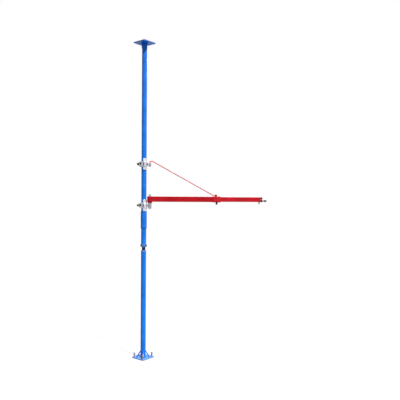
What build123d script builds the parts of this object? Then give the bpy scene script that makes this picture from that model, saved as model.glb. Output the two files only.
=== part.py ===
from build123d import *
from math import hypot
import os

# Hoist mounting post: a blue steel post braced between floor and ceiling by a screw jack, with a red
# telescopic jib arm that swings on two zinc-plated clamps.
# Millimetres. The origin is the middle of the base plate's underside, +Z is up, +X runs along the arm.

# Post
tube_od = 48.3
tube_wall = 3.2
post_height = 2950.0
plate_side = 150.0
plate_thick = 8.0
plate_corner_r = 8.0
plate_edge_r = 1.0
lower_tube_length = 992.0
mid_tube_length = 228.0
sleeve_od = 57.0
sleeve_length = 160.0
top_collar_length = 45.0

# Base braces: round bars from the plate up to the tube
brace_d = 10.0
brace_foot = 60.0
brace_head = 60.0

# Sleeve anchors through the base plate, and the bolt holes of the top plate on the same circle
anchor_pcd = 162.0
anchor_hole_d = 14.0
top_hole_d = 13.0
anchor_d = 10.0
anchor_rise = 45.0
anchor_tail = 4.0
anchor_count = 4

# Screw jack
spindle_d = 38.0
spindle_above = 200.0
plug_length = 60.0
plug_rim = 3.0
plug_tail = 10.0
jack_gap = 32.0
jack_nut_od = 60.0
jack_nut_height = 28.0
jack_nut_taper = 5.0
jack_nut_edge = 1.5
tommy_hole_d = 10.0
tommy_hole_depth = 7.0
tommy_hole_count = 4

# Clamps on the upper tube
clamp_wall = 4.5
clamp_height = 107.0
clamp_gap = 9.0
jib_flank = 8.0
clamp_spacing = 386.0
ear_reach = 51.0
jib_ear_thick = 22.0
jib_ear_height = 48.0
jib_ear_corner_r = 9.0
back_height = 54.0
back_ear_depth = 36.0
back_ear_width = 22.0
back_ear_tip = 41.0
back_ear_tip_r = 6.0
ear_window_width = 14.0
ear_window_height = 20.0
ear_window_inset = 17.0
clamp_bolt_d = 12.0
clamp_bolt_y = 39.0
clamp_bolt_tail = 66.0

# Pivot of the arm, on the jib halves of the two clamps
pivot_x = 56.0
lower_barrel_od = 32.0
lower_barrel_drop = 27.0
lower_barrel_height = 48.0
upper_barrel_od = 22.0
upper_barrel_drop = 34.0
upper_barrel_height = 29.0
barrel_web = 18.0
bush_wall = 2.5
bush_flange = 2.0
pivot_pin_d = 20.0
pivot_thread_d = 16.0
pivot_tube_wall = 4.5
pivot_pad_thick = 10.0
pivot_pin_tail = 10.0

# Telescopic arm
arm_outer_size = 50.0
arm_outer_wall = 2.0
arm_inner_wall = 3.0
arm_corner_r = 3.0
arm_outer_end = 722.0
arm_reach = 1108.0
arm_inner_length = 628.0
collar_length = 70.0
collar_wall = 3.0
lock_bolt_d = 12.0
lock_bolt_inset = 35.0
lock_bolt_slack = 3.0

# Tie strut from the upper barrel down to the collar
strut_d = 8.0
strut_rise = 18.0
strut_run = 22.0
strut_bend_r = 12.0
strut_leg_tail = 7.0
strut_foot_run = 26.0
strut_eye_d = 18.0
strut_eye_proud = 0.5
strut_eye_inset = 41.0
strut_lug_thick = 5.0
strut_lug_rise = 9.5
strut_bolt_d = 8.0

# Fittings at the arm's tip
end_plate_thick = 5.0
buffer_d = 22.0
buffer_length = 21.0
buffer_rise = 11.5
stud_d = 12.0
stud_drop = 13.0
stud_reach = 63.0
stud_nut_reach = 41.5
stop_bolt_d = 8.0
stop_bolt_inset = 11.0
stop_bolt_drop = 21.0

# Clearances: radial for round fits, each side for the square slide
weld_fit = 0.05
thread_fit = 0.1
running_fit = 0.06
slip_fit = 0.15
body_gap = 0.3
slide_fit = 0.5
bolt_hole_fit = 0.5

# Common hardware proportions, as multiples of the thread diameter
flats_per_d = 1.55
nut_per_d = 0.85
head_per_d = 0.65
washer_od_per_d = 2.0
washer_thick_per_d = 0.2
split_pin_per_d = 0.2

# Heights worked out from the sizes above
tube_id = tube_od - 2 * tube_wall
lower_tube_top = plate_thick + lower_tube_length
spindle_bottom = lower_tube_top - plug_length - plug_tail
spindle_top = lower_tube_top + spindle_above
jack_nut_bottom = lower_tube_top + plug_rim + jack_gap
jack_nut_top = jack_nut_bottom + jack_nut_height
butt_z = jack_nut_top + mid_tube_length
sleeve_top = butt_z + sleeve_length / 2
top_plate_bottom = post_height - plate_thick
lower_clamp_z = sleeve_top
upper_clamp_z = lower_clamp_z + clamp_spacing
lower_barrel_z = lower_clamp_z + lower_barrel_drop
lower_barrel_top = lower_barrel_z + lower_barrel_height
upper_barrel_z = upper_clamp_z + upper_barrel_drop
upper_barrel_top = upper_barrel_z + upper_barrel_height
pivot_pad_bottom = lower_barrel_top + bush_flange
arm_bottom = pivot_pad_bottom + pivot_pad_thick
arm_top = arm_bottom + arm_outer_size
arm_z = arm_bottom + arm_outer_size / 2

# Radii and widths worked out from the sizes above
socket_id = tube_od + 2 * slip_fit
clamp_bore_r = tube_od / 2 + body_gap
clamp_outer_r = clamp_bore_r + clamp_wall
clamp_hole_r = clamp_bolt_d / 2 + bolt_hole_fit
back_seat_x = -clamp_gap - back_ear_depth
pivot_hole_d = pivot_pin_d + 2 * weld_fit
arm_inner_size = arm_outer_size - 2 * arm_outer_wall - 2 * slide_fit
arm_inner_bottom = arm_z - arm_inner_size / 2
collar_size = arm_outer_size + 2 * weld_fit + 2 * collar_wall
collar_bottom = arm_z - collar_size / 2
collar_top = arm_z + collar_size / 2
collar_start = arm_outer_end - collar_length
lock_bolt_x = arm_outer_end - lock_bolt_inset
strut_eye_x = arm_outer_end - strut_eye_inset
strut_eye_z = collar_top + strut_lug_rise
strut_eye_thick = strut_d + 2 * strut_eye_proud
strut_top_z = upper_barrel_top + strut_rise

UP = (Align.CENTER, Align.CENTER, Align.MIN)

os.makedirs("parts", exist_ok=True)


def hex_nut(plane, thread_d, thickness, bore_d):
    """A hex nut that stands on the plane."""
    with BuildPart() as nut:
        with BuildSketch(plane):
            RegularPolygon(thread_d * flats_per_d / 2, 6, major_radius=False)
            Circle(bore_d / 2, mode=Mode.SUBTRACT)
        extrude(amount=thickness)
    return nut.part


def hex_bolt(plane, thread_d, length):
    """A hex bolt whose head sits behind the plane and whose shank runs along the plane's normal."""
    with BuildPart() as bolt:
        with BuildSketch(plane):
            RegularPolygon(thread_d * flats_per_d / 2, 6, major_radius=False)
        extrude(amount=-thread_d * head_per_d)
        with BuildSketch(plane):
            Circle(thread_d / 2)
        extrude(amount=length)
    return bolt.part


def washer(plane, outer_d, bore_d, thickness):
    """A flat ring that stands on the plane."""
    with BuildPart() as ring:
        with BuildSketch(plane):
            Circle(outer_d / 2)
            Circle(bore_d / 2, mode=Mode.SUBTRACT)
        extrude(amount=thickness)
    return ring.part


# Lower post: base plate, turned so that its corners lie on the X and Y axes
with BuildPart() as base_plate:
    with BuildSketch():
        RectangleRounded(plate_side, plate_side, plate_corner_r, rotation=45)
        with PolarLocations(anchor_pcd / 2, anchor_count):
            Circle(anchor_hole_d / 2, mode=Mode.SUBTRACT)
    extrude(amount=plate_thick)
    fillet(base_plate.faces().sort_by(Axis.Z)[-1].outer_wire().edges(), plate_edge_r)
base_plate.part.label = "base_plate"
export_step(base_plate.part, "parts/base_plate.step")

# One brace bar leans from the plate to the tube and is cut to both
brace_rise = brace_head - plate_thick
brace_in = brace_foot - tube_od / 2
brace_plane = Plane(origin=(brace_foot, 0, plate_thick), x_dir=(0, 1, 0), z_dir=(-brace_in, 0, brace_rise))
with BuildPart() as brace:
    with BuildSketch(brace_plane):
        Circle(brace_d / 2)
    extrude(amount=hypot(brace_rise, brace_in) + brace_d, both=True)
    split(bisect_by=Plane.XY.offset(plate_thick), keep=Keep.TOP)
    Cylinder(tube_od / 2 + weld_fit, brace_head + tube_od, align=UP, mode=Mode.SUBTRACT)

with BuildPart() as base_braces:
    with PolarLocations(0, anchor_count):
        add(brace.part)
base_braces.part.label = "base_braces"
export_step(base_braces.part, "parts/base_braces.step")

# Sleeve anchors: a sleeve grips the plate's hole, and a stud in it carries a washer and a nut
anchor_nut_bottom = plate_thick + anchor_rise - anchor_tail - anchor_d * nut_per_d
anchor_sleeve_top = anchor_nut_bottom - anchor_d * washer_thick_per_d
anchor_sleeve = washer(
    Plane.XY, anchor_hole_d - 2 * weld_fit, anchor_d + 2 * thread_fit, anchor_sleeve_top
)
anchor_washer = washer(
    Plane.XY.offset(anchor_sleeve_top),
    anchor_d * washer_od_per_d,
    anchor_d + 2 * bolt_hole_fit,
    anchor_d * washer_thick_per_d,
)
anchor_nut = hex_nut(
    Plane.XY.offset(anchor_nut_bottom), anchor_d, anchor_d * nut_per_d, anchor_d + 2 * thread_fit
)

with BuildPart() as anchor_studs:
    with PolarLocations(anchor_pcd / 2, anchor_count):
        Cylinder(anchor_d / 2, plate_thick + anchor_rise, align=UP)
    chamfer(anchor_studs.faces().group_by(Axis.Z)[-1].edges(), anchor_d / 10)
anchor_studs.part.label = "anchor_studs"
export_step(anchor_studs.part, "parts/anchor_studs.step")

with BuildPart() as anchor_sleeves:
    with PolarLocations(anchor_pcd / 2, anchor_count):
        add(anchor_sleeve)
anchor_sleeves.part.label = "anchor_sleeves"
export_step(anchor_sleeves.part, "parts/anchor_sleeves.step")

with BuildPart() as anchor_washers:
    with PolarLocations(anchor_pcd / 2, anchor_count):
        add(anchor_washer)
anchor_washers.part.label = "anchor_washers"
export_step(anchor_washers.part, "parts/anchor_washers.step")

with BuildPart() as anchor_nuts:
    with PolarLocations(anchor_pcd / 2, anchor_count):
        add(anchor_nut)
anchor_nuts.part.label = "anchor_nuts"
export_step(anchor_nuts.part, "parts/anchor_nuts.step")

with BuildPart() as lower_tube:
    with BuildSketch(Plane.XY.offset(plate_thick)):
        Circle(tube_od / 2)
        Circle(tube_id / 2, mode=Mode.SUBTRACT)
    extrude(amount=lower_tube_length)
lower_tube.part.label = "lower_tube"
export_step(lower_tube.part, "parts/lower_tube.step")

# The plug closes the lower tube's top with a rim and holds the spindle
plug_bore_r = spindle_d / 2 + weld_fit
with BuildPart() as spindle_plug:
    with BuildSketch(Plane.XY.offset(lower_tube_top - plug_length)):
        Circle(tube_id / 2 - weld_fit)
        Circle(plug_bore_r, mode=Mode.SUBTRACT)
    extrude(amount=plug_length)
    with BuildSketch(Plane.XY.offset(lower_tube_top)):
        Circle(tube_od / 2)
        Circle(plug_bore_r, mode=Mode.SUBTRACT)
    extrude(amount=plug_rim)
    chamfer(spindle_plug.faces().sort_by(Axis.Z)[-1].outer_wire().edges(), plug_rim / 3)
spindle_plug.part.label = "spindle_plug"
export_step(spindle_plug.part, "parts/spindle_plug.step")

with BuildPart() as spindle:
    with Locations((0, 0, spindle_bottom)):
        Cylinder(spindle_d / 2, spindle_top - spindle_bottom, align=UP)
    chamfer(spindle.edges().filter_by(GeomType.CIRCLE), spindle_d / 16)
spindle.part.label = "spindle"
export_step(spindle.part, "parts/spindle.step")

# Ring nut of the jack: tapered below, with blind holes for a tommy bar round its middle
nut_bore_r = spindle_d / 2 + body_gap
nut_r = jack_nut_od / 2
nut_mid_z = (jack_nut_bottom + jack_nut_top) / 2
with BuildPart() as jack_nut:
    with Locations((0, 0, jack_nut_bottom)):
        Cylinder(nut_r, jack_nut_height, align=UP)
    chamfer(jack_nut.faces().sort_by(Axis.Z)[0].edges(), jack_nut_taper)
    chamfer(jack_nut.faces().sort_by(Axis.Z)[-1].edges(), jack_nut_edge)
    with Locations((0, 0, jack_nut_bottom)):
        Cylinder(nut_bore_r, jack_nut_height, align=UP, mode=Mode.SUBTRACT)
    with Locations((0, 0, nut_mid_z)):
        with PolarLocations(nut_r, tommy_hole_count, start_angle=45):
            Cylinder(tommy_hole_d / 2, 2 * tommy_hole_depth, rotation=(0, 90, 0), mode=Mode.SUBTRACT)
jack_nut.part.label = "jack_nut"
export_step(jack_nut.part, "parts/jack_nut.step")

# Upper post: two tubes butt inside the coupling sleeve
with BuildPart() as mid_tube:
    with BuildSketch(Plane.XY.offset(jack_nut_top)):
        Circle(tube_od / 2)
        Circle(tube_id / 2, mode=Mode.SUBTRACT)
    extrude(amount=mid_tube_length)
mid_tube.part.label = "mid_tube"
export_step(mid_tube.part, "parts/mid_tube.step")

with BuildPart() as coupling_sleeve:
    with BuildSketch(Plane.XY.offset(sleeve_top - sleeve_length)):
        Circle(sleeve_od / 2)
        Circle(socket_id / 2, mode=Mode.SUBTRACT)
    extrude(amount=sleeve_length)
coupling_sleeve.part.label = "coupling_sleeve"
export_step(coupling_sleeve.part, "parts/coupling_sleeve.step")

with BuildPart() as upper_tube:
    with BuildSketch(Plane.XY.offset(butt_z)):
        Circle(tube_od / 2)
        Circle(tube_id / 2, mode=Mode.SUBTRACT)
    extrude(amount=top_plate_bottom - butt_z)
upper_tube.part.label = "upper_tube"
export_step(upper_tube.part, "parts/upper_tube.step")

with BuildPart() as top_collar:
    with BuildSketch(Plane.XY.offset(top_plate_bottom - top_collar_length)):
        Circle(sleeve_od / 2)
        Circle(socket_id / 2, mode=Mode.SUBTRACT)
    extrude(amount=top_collar_length)
top_collar.part.label = "top_collar"
export_step(top_collar.part, "parts/top_collar.step")

with BuildPart() as top_plate:
    with BuildSketch(Plane.XY.offset(top_plate_bottom)):
        RectangleRounded(plate_side, plate_side, plate_corner_r, rotation=45)
        with PolarLocations(anchor_pcd / 2, anchor_count):
            Circle(top_hole_d / 2, mode=Mode.SUBTRACT)
    extrude(amount=plate_thick)
    fillet(top_plate.faces().sort_by(Axis.Z)[0].outer_wire().edges(), plate_edge_r)
top_plate.part.label = "top_plate"
export_step(top_plate.part, "parts/top_plate.step")


def jib_half(bottom, barrel_bottom, barrel_height, barrel_od, bore_d):
    """The clamp half towards the jib: a tall U-shaped shell with bolting ears and the pivot barrel on a web."""
    with BuildPart() as half:
        with BuildSketch(Plane.XY.offset(bottom)):
            Circle(clamp_outer_r)
            with Locations((-jib_flank / 2, 0)):
                Rectangle(jib_flank, 2 * clamp_outer_r)
            with Locations((clamp_outer_r - jib_flank, 0)):
                Rectangle(2 * clamp_outer_r, 2 * clamp_outer_r, mode=Mode.INTERSECT)
        extrude(amount=clamp_height)
        with BuildSketch(Plane(origin=(0, 0, bottom + clamp_height / 2), x_dir=(0, 1, 0), z_dir=(1, 0, 0))):
            RectangleRounded(2 * ear_reach, jib_ear_height, jib_ear_corner_r)
            with Locations((clamp_bolt_y, 0), (-clamp_bolt_y, 0)):
                Circle(clamp_hole_r, mode=Mode.SUBTRACT)
        extrude(amount=jib_ear_thick)
        with BuildSketch(Plane.XY.offset(barrel_bottom)):
            with Locations((pivot_x, 0)):
                Circle(barrel_od / 2)
            with Locations(((clamp_bore_r + pivot_x) / 2, 0)):
                Rectangle(pivot_x - clamp_bore_r, barrel_web)
        extrude(amount=barrel_height)
        with Locations((0, 0, bottom)):
            Cylinder(clamp_bore_r, clamp_height, align=UP, mode=Mode.SUBTRACT)
        with Locations((-jib_flank / 2, 0, bottom)):
            Box(jib_flank, 2 * clamp_bore_r, clamp_height, align=UP, mode=Mode.SUBTRACT)
        with Locations((pivot_x, 0, barrel_bottom)):
            Cylinder(bore_d / 2, barrel_height, align=UP, mode=Mode.SUBTRACT)
    return half.part


def back_half(bottom):
    """The clamp half behind the post: a short half shell between two deep ears that taper to the nuts."""
    middle = bottom + clamp_height / 2
    shell_bottom = middle - back_height / 2
    window_x = -clamp_gap - ear_window_inset - ear_window_width / 2
    window_depth = ear_reach - clamp_bolt_y + clamp_bolt_d / 2
    with BuildPart() as half:
        with BuildSketch(Plane.XZ):
            with BuildLine():
                Polyline(
                    (-clamp_gap, shell_bottom),
                    (-clamp_gap, shell_bottom + back_height),
                    (back_seat_x, middle + back_ear_tip / 2),
                    (back_seat_x, middle - back_ear_tip / 2),
                    close=True,
                )
            make_face()
        extrude(amount=ear_reach, both=True)
        fillet(half.faces().sort_by(Axis.X)[0].edges().filter_by(Axis.Y), back_ear_tip_r)
        with Locations((back_seat_x, 0, middle)):
            Box(
                2 * (-back_seat_x - clamp_outer_r),
                2 * (ear_reach - back_ear_width),
                back_height,
                mode=Mode.SUBTRACT,
            )
        with BuildSketch(Plane.XY.offset(shell_bottom)):
            Circle(clamp_outer_r)
            with Locations((-clamp_gap - clamp_outer_r, 0)):
                Rectangle(2 * clamp_outer_r, 2 * clamp_outer_r, mode=Mode.INTERSECT)
        extrude(amount=back_height)
        with Locations((window_x, ear_reach, middle), (window_x, -ear_reach, middle)):
            Box(ear_window_width, 2 * window_depth, ear_window_height, mode=Mode.SUBTRACT)
        with Locations((back_seat_x, clamp_bolt_y, middle), (back_seat_x, -clamp_bolt_y, middle)):
            Cylinder(clamp_hole_r, -2 * back_seat_x, rotation=(0, 90, 0), mode=Mode.SUBTRACT)
        with Locations((0, 0, bottom)):
            Cylinder(clamp_bore_r, clamp_height, align=UP, mode=Mode.SUBTRACT)
    return half.part


# Lower clamp: its barrel takes the arm's pivot pin. It stands on the coupling sleeve
lower_bush_od = pivot_pin_d + 2 * running_fit + 2 * bush_wall
lower_jib_half = jib_half(
    lower_clamp_z, lower_barrel_z, lower_barrel_height, lower_barrel_od, lower_bush_od + 2 * weld_fit
)
lower_jib_half.label = "lower_clamp_jib_half"
export_step(lower_jib_half, "parts/lower_clamp_jib_half.step")

lower_back_half = back_half(lower_clamp_z)
lower_back_half.label = "lower_clamp_back_half"
export_step(lower_back_half, "parts/lower_clamp_back_half.step")

# Upper clamp: its barrel takes the bent leg of the strut
upper_bush_od = strut_d + 2 * running_fit + 2 * bush_wall
upper_jib_half = jib_half(
    upper_clamp_z, upper_barrel_z, upper_barrel_height, upper_barrel_od, upper_bush_od + 2 * weld_fit
)
upper_jib_half.label = "upper_clamp_jib_half"
export_step(upper_jib_half, "parts/upper_clamp_jib_half.step")

upper_back_half = back_half(upper_clamp_z)
upper_back_half.label = "upper_clamp_back_half"
export_step(upper_back_half, "parts/upper_clamp_back_half.step")

# Clamp bolts: heads towards the jib, nuts and long thread tails behind
clamp_washer_thick = clamp_bolt_d * washer_thick_per_d
clamp_washer_od = clamp_bolt_d * washer_od_per_d
clamp_washer_bore = clamp_bolt_d + 2 * bolt_hole_fit
for clamp_name, clamp_z in (("lower_clamp", lower_clamp_z), ("upper_clamp", upper_clamp_z)):
    bolt_z = clamp_z + clamp_height / 2
    bolt_line = Plane(origin=(0, clamp_bolt_y, bolt_z), x_dir=(0, 1, 0), z_dir=(-1, 0, 0))
    head_plane = bolt_line.offset(-jib_ear_thick - clamp_washer_thick)
    nut_plane = bolt_line.offset(clamp_washer_thick - back_seat_x)
    back_face = bolt_line.offset(-back_seat_x)
    bolt = hex_bolt(head_plane, clamp_bolt_d, jib_ear_thick + clamp_washer_thick + clamp_bolt_tail)
    nut = hex_nut(nut_plane, clamp_bolt_d, clamp_bolt_d * nut_per_d, clamp_bolt_d + 2 * thread_fit)
    back_washer = washer(back_face, clamp_washer_od, clamp_washer_bore, clamp_washer_thick)
    front_washer = washer(head_plane, clamp_washer_od, clamp_washer_bore, clamp_washer_thick)

    with BuildPart() as clamp_bolts:
        add(bolt)
        mirror(about=Plane.XZ)
    clamp_bolts.part.label = clamp_name + "_bolts"
    export_step(clamp_bolts.part, f"parts/{clamp_name}_bolts.step")

    with BuildPart() as clamp_nuts:
        add(nut)
        mirror(about=Plane.XZ)
    clamp_nuts.part.label = clamp_name + "_nuts"
    export_step(clamp_nuts.part, f"parts/{clamp_name}_nuts.step")

    with BuildPart() as clamp_washers:
        add(back_washer)
        add(front_washer)
        mirror(about=Plane.XZ)
    clamp_washers.part.label = clamp_name + "_washers"
    export_step(clamp_washers.part, f"parts/{clamp_name}_washers.step")

# Flanged bush in the lower barrel: the arm turns on its flange
with BuildPart() as pivot_bush:
    with BuildSketch(Plane.XY.offset(lower_barrel_z)):
        with Locations((pivot_x, 0)):
            Circle(lower_bush_od / 2)
            Circle(pivot_pin_d / 2 + running_fit, mode=Mode.SUBTRACT)
    extrude(amount=lower_barrel_height)
    with BuildSketch(Plane.XY.offset(lower_barrel_top)):
        with Locations((pivot_x, 0)):
            Circle(lower_barrel_od / 2)
            Circle(pivot_pin_d / 2 + running_fit, mode=Mode.SUBTRACT)
    extrude(amount=bush_flange)
pivot_bush.part.label = "pivot_bush"
export_step(pivot_bush.part, "parts/pivot_bush.step")

with BuildPart() as strut_bush:
    with BuildSketch(Plane.XY.offset(upper_barrel_z)):
        with Locations((pivot_x, 0)):
            Circle(upper_bush_od / 2)
            Circle(strut_d / 2 + running_fit, mode=Mode.SUBTRACT)
    extrude(amount=upper_barrel_height)
strut_bush.part.label = "strut_bush"
export_step(strut_bush.part, "parts/strut_bush.step")

# Arm: a square tube whose inner end is closed in a half round about the pivot
with BuildPart() as arm_outer_tube:
    with BuildSketch(Plane.XY.offset(arm_bottom)):
        with Locations(((pivot_x + arm_outer_end) / 2, 0)):
            Rectangle(arm_outer_end - pivot_x, arm_outer_size)
        with Locations((pivot_x, 0)):
            Circle(arm_outer_size / 2)
    extrude(amount=arm_outer_size)
    rims = arm_outer_tube.edges().filter_by_position(Axis.X, 0, arm_outer_end, inclusive=(True, False))
    fillet(rims.filter_by(Axis.Z, reverse=True), arm_corner_r)
    with BuildSketch(Plane.XY.offset(arm_bottom + arm_outer_wall)):
        with Locations(((pivot_x + arm_outer_end) / 2, 0)):
            Rectangle(arm_outer_end - pivot_x, arm_outer_size - 2 * arm_outer_wall)
        with Locations((pivot_x, 0)):
            Circle(arm_outer_size / 2 - arm_outer_wall)
    extrude(amount=arm_outer_size - 2 * arm_outer_wall, mode=Mode.SUBTRACT)
    with Locations((pivot_x, 0, arm_bottom)):
        Cylinder(pivot_hole_d / 2, arm_outer_size, align=UP, mode=Mode.SUBTRACT)
    with Locations((lock_bolt_x, 0, arm_bottom)):
        Cylinder(lock_bolt_d / 2 + bolt_hole_fit, arm_outer_wall, align=UP, mode=Mode.SUBTRACT)
arm_outer_tube.part.label = "arm_outer_tube"
export_step(arm_outer_tube.part, "parts/arm_outer_tube.step")

with BuildPart() as arm_pivot_tube:
    with BuildSketch(Plane.XY.offset(arm_bottom + arm_outer_wall)):
        with Locations((pivot_x, 0)):
            Circle(pivot_hole_d / 2 + pivot_tube_wall)
            Circle(pivot_hole_d / 2, mode=Mode.SUBTRACT)
    extrude(amount=arm_outer_size - 2 * arm_outer_wall)
arm_pivot_tube.part.label = "arm_pivot_tube"
export_step(arm_pivot_tube.part, "parts/arm_pivot_tube.step")

with BuildPart() as arm_pivot_pad:
    with BuildSketch(Plane.XY.offset(pivot_pad_bottom)):
        with Locations((pivot_x, 0)):
            Circle(arm_outer_size / 2 - arm_corner_r)
            Circle(pivot_hole_d / 2, mode=Mode.SUBTRACT)
    extrude(amount=pivot_pad_thick)
arm_pivot_pad.part.label = "arm_pivot_pad"
export_step(arm_pivot_pad.part, "parts/arm_pivot_pad.step")

# Pivot pin: a shouldered shaft, nutted on the arm's top and cross-pinned below the barrel
pivot_washer_thick = pivot_thread_d * washer_thick_per_d
pivot_nut_thick = pivot_thread_d * nut_per_d
pivot_thread_tail = pivot_thread_d / 5
pivot_pin_bottom = lower_barrel_z - pivot_pin_tail
split_pin_d = pivot_pin_d * split_pin_per_d
bottom_washer_top = lower_barrel_z - body_gap
split_pin_z = bottom_washer_top - pivot_washer_thick - split_pin_d / 2
with BuildPart() as pivot_pin:
    with Locations((pivot_x, 0, pivot_pin_bottom)):
        Cylinder(pivot_pin_d / 2, arm_top - pivot_pin_bottom, align=UP)
    with Locations((pivot_x, 0, arm_top)):
        Cylinder(pivot_thread_d / 2, pivot_washer_thick + pivot_nut_thick + pivot_thread_tail, align=UP)
    with Locations((pivot_x, 0, split_pin_z)):
        Cylinder(split_pin_d / 2 + weld_fit, 2 * pivot_pin_d, rotation=(90, 0, 0), mode=Mode.SUBTRACT)
pivot_pin.part.label = "pivot_pin"
export_step(pivot_pin.part, "parts/pivot_pin.step")

pivot_centre = Plane(origin=(pivot_x, 0, arm_top))
pivot_top_washer = washer(
    pivot_centre, pivot_thread_d * washer_od_per_d, pivot_thread_d + 2 * bolt_hole_fit, pivot_washer_thick
)
pivot_top_washer.label = "pivot_top_washer"
export_step(pivot_top_washer, "parts/pivot_top_washer.step")

pivot_nut = hex_nut(
    pivot_centre.offset(pivot_washer_thick),
    pivot_thread_d,
    pivot_nut_thick,
    pivot_thread_d + 2 * thread_fit,
)
pivot_nut.label = "pivot_nut"
export_step(pivot_nut, "parts/pivot_nut.step")

pivot_bottom_washer = washer(
    Plane(origin=(pivot_x, 0, bottom_washer_top - pivot_washer_thick)),
    lower_barrel_od,
    pivot_pin_d + 2 * bolt_hole_fit,
    pivot_washer_thick,
)
pivot_bottom_washer.label = "pivot_bottom_washer"
export_step(pivot_bottom_washer, "parts/pivot_bottom_washer.step")

with BuildPart() as pivot_split_pin:
    with Locations((pivot_x, 0, split_pin_z)):
        Cylinder(split_pin_d / 2, lower_barrel_od, rotation=(90, 0, 0))
pivot_split_pin.part.label = "pivot_split_pin"
export_step(pivot_split_pin.part, "parts/pivot_split_pin.step")

# Collar welded round the outer tube's end, with a weld nut below for the lock bolt
with BuildPart() as arm_collar:
    with BuildSketch(Plane(origin=(collar_start, 0, arm_z), x_dir=(0, 1, 0), z_dir=(1, 0, 0))):
        RectangleRounded(collar_size, collar_size, arm_corner_r + collar_wall)
        collar_bore = arm_outer_size + 2 * weld_fit
        RectangleRounded(collar_bore, collar_bore, arm_corner_r, mode=Mode.SUBTRACT)
    extrude(amount=collar_length)
    with Locations((lock_bolt_x, 0, collar_bottom)):
        Cylinder(lock_bolt_d / 2 + body_gap, collar_wall, align=UP, mode=Mode.SUBTRACT)
arm_collar.part.label = "arm_collar"
export_step(arm_collar.part, "parts/arm_collar.step")

lock_nut_thick = lock_bolt_d * nut_per_d
lock_nut_bottom = collar_bottom - lock_nut_thick
lock_nut = hex_nut(
    Plane(origin=(lock_bolt_x, 0, lock_nut_bottom)), lock_bolt_d, lock_nut_thick, lock_bolt_d + 2 * body_gap
)
lock_nut.label = "lock_weld_nut"
export_step(lock_nut, "parts/lock_weld_nut.step")

lock_head_top = lock_nut_bottom - lock_bolt_slack
lock_bolt = hex_bolt(
    Plane(origin=(lock_bolt_x, 0, lock_head_top)), lock_bolt_d, arm_inner_bottom - body_gap - lock_head_top
)
lock_bolt.label = "lock_bolt"
export_step(lock_bolt, "parts/lock_bolt.step")

# Strut lugs: two plates on the collar that hold the strut's eye between them
lug_inner_y = strut_eye_thick / 2 + weld_fit
lug_outer_y = lug_inner_y + strut_lug_thick
with BuildPart() as strut_lugs:
    with BuildSketch(Plane.XZ.offset(lug_inner_y)):
        with Locations((strut_eye_x, strut_eye_z)):
            Circle(strut_eye_d / 2)
        with Locations((strut_eye_x, collar_top + strut_lug_rise / 2)):
            Rectangle(strut_eye_d, strut_lug_rise)
        with Locations((strut_eye_x, strut_eye_z)):
            Circle(strut_bolt_d / 2 + bolt_hole_fit, mode=Mode.SUBTRACT)
    extrude(amount=strut_lug_thick)
    mirror(about=Plane.XZ)
strut_lugs.part.label = "strut_lugs"
export_step(strut_lugs.part, "parts/strut_lugs.step")

# Strut: a bar bent over at the top into the upper barrel, and bent level at its foot into an eye
strut_washer_thick = strut_d * washer_thick_per_d
strut_washer_bottom = upper_barrel_z - body_gap - strut_washer_thick
strut_pin_d = strut_d * split_pin_per_d
with BuildPart() as strut_rod:
    with BuildLine() as strut_path:
        FilletPolyline(
            (pivot_x, 0, upper_barrel_z - strut_leg_tail),
            (pivot_x, 0, strut_top_z),
            (pivot_x + strut_run, 0, strut_top_z),
            (strut_eye_x - strut_foot_run, 0, strut_eye_z),
            (strut_eye_x, 0, strut_eye_z),
            radius=strut_bend_r,
        )
    with BuildSketch(Plane(origin=(pivot_x, 0, upper_barrel_z - strut_leg_tail))):
        Circle(strut_d / 2)
    sweep()
    with BuildSketch(Plane.XZ.offset(-strut_eye_thick / 2)):
        with Locations((strut_eye_x, strut_eye_z)):
            Circle(strut_eye_d / 2)
    extrude(amount=strut_eye_thick)
    with Locations((strut_eye_x, 0, strut_eye_z)):
        Cylinder(strut_bolt_d / 2 + bolt_hole_fit, 2 * strut_eye_d, rotation=(90, 0, 0), mode=Mode.SUBTRACT)
    with Locations((pivot_x, 0, strut_washer_bottom - strut_pin_d / 2)):
        Cylinder(strut_pin_d / 2 + weld_fit, 2 * strut_d, rotation=(90, 0, 0), mode=Mode.SUBTRACT)
strut_rod.part.label = "strut_rod"
export_step(strut_rod.part, "parts/strut_rod.step")

strut_nut_thick = strut_bolt_d * nut_per_d
strut_bolt_plane = Plane(origin=(strut_eye_x, -lug_outer_y, strut_eye_z), x_dir=(1, 0, 0), z_dir=(0, 1, 0))
strut_bolt = hex_bolt(strut_bolt_plane, strut_bolt_d, 2 * lug_outer_y + strut_nut_thick + strut_bolt_d / 4)
strut_bolt.label = "strut_bolt"
export_step(strut_bolt, "parts/strut_bolt.step")

strut_nut = hex_nut(
    strut_bolt_plane.offset(2 * lug_outer_y), strut_bolt_d, strut_nut_thick, strut_bolt_d + 2 * thread_fit
)
strut_nut.label = "strut_nut"
export_step(strut_nut, "parts/strut_nut.step")

# Washer and cross pin that keep the strut's leg in its barrel
strut_washer = washer(
    Plane(origin=(pivot_x, 0, strut_washer_bottom)),
    strut_d * washer_od_per_d,
    strut_d + 2 * bolt_hole_fit,
    strut_washer_thick,
)
strut_washer.label = "strut_washer"
export_step(strut_washer, "parts/strut_washer.step")

with BuildPart() as strut_split_pin:
    with Locations((pivot_x, 0, strut_washer_bottom - strut_pin_d / 2)):
        Cylinder(strut_pin_d / 2, strut_d * washer_od_per_d, rotation=(90, 0, 0))
strut_split_pin.part.label = "strut_split_pin"
export_step(strut_split_pin.part, "parts/strut_split_pin.step")

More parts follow.
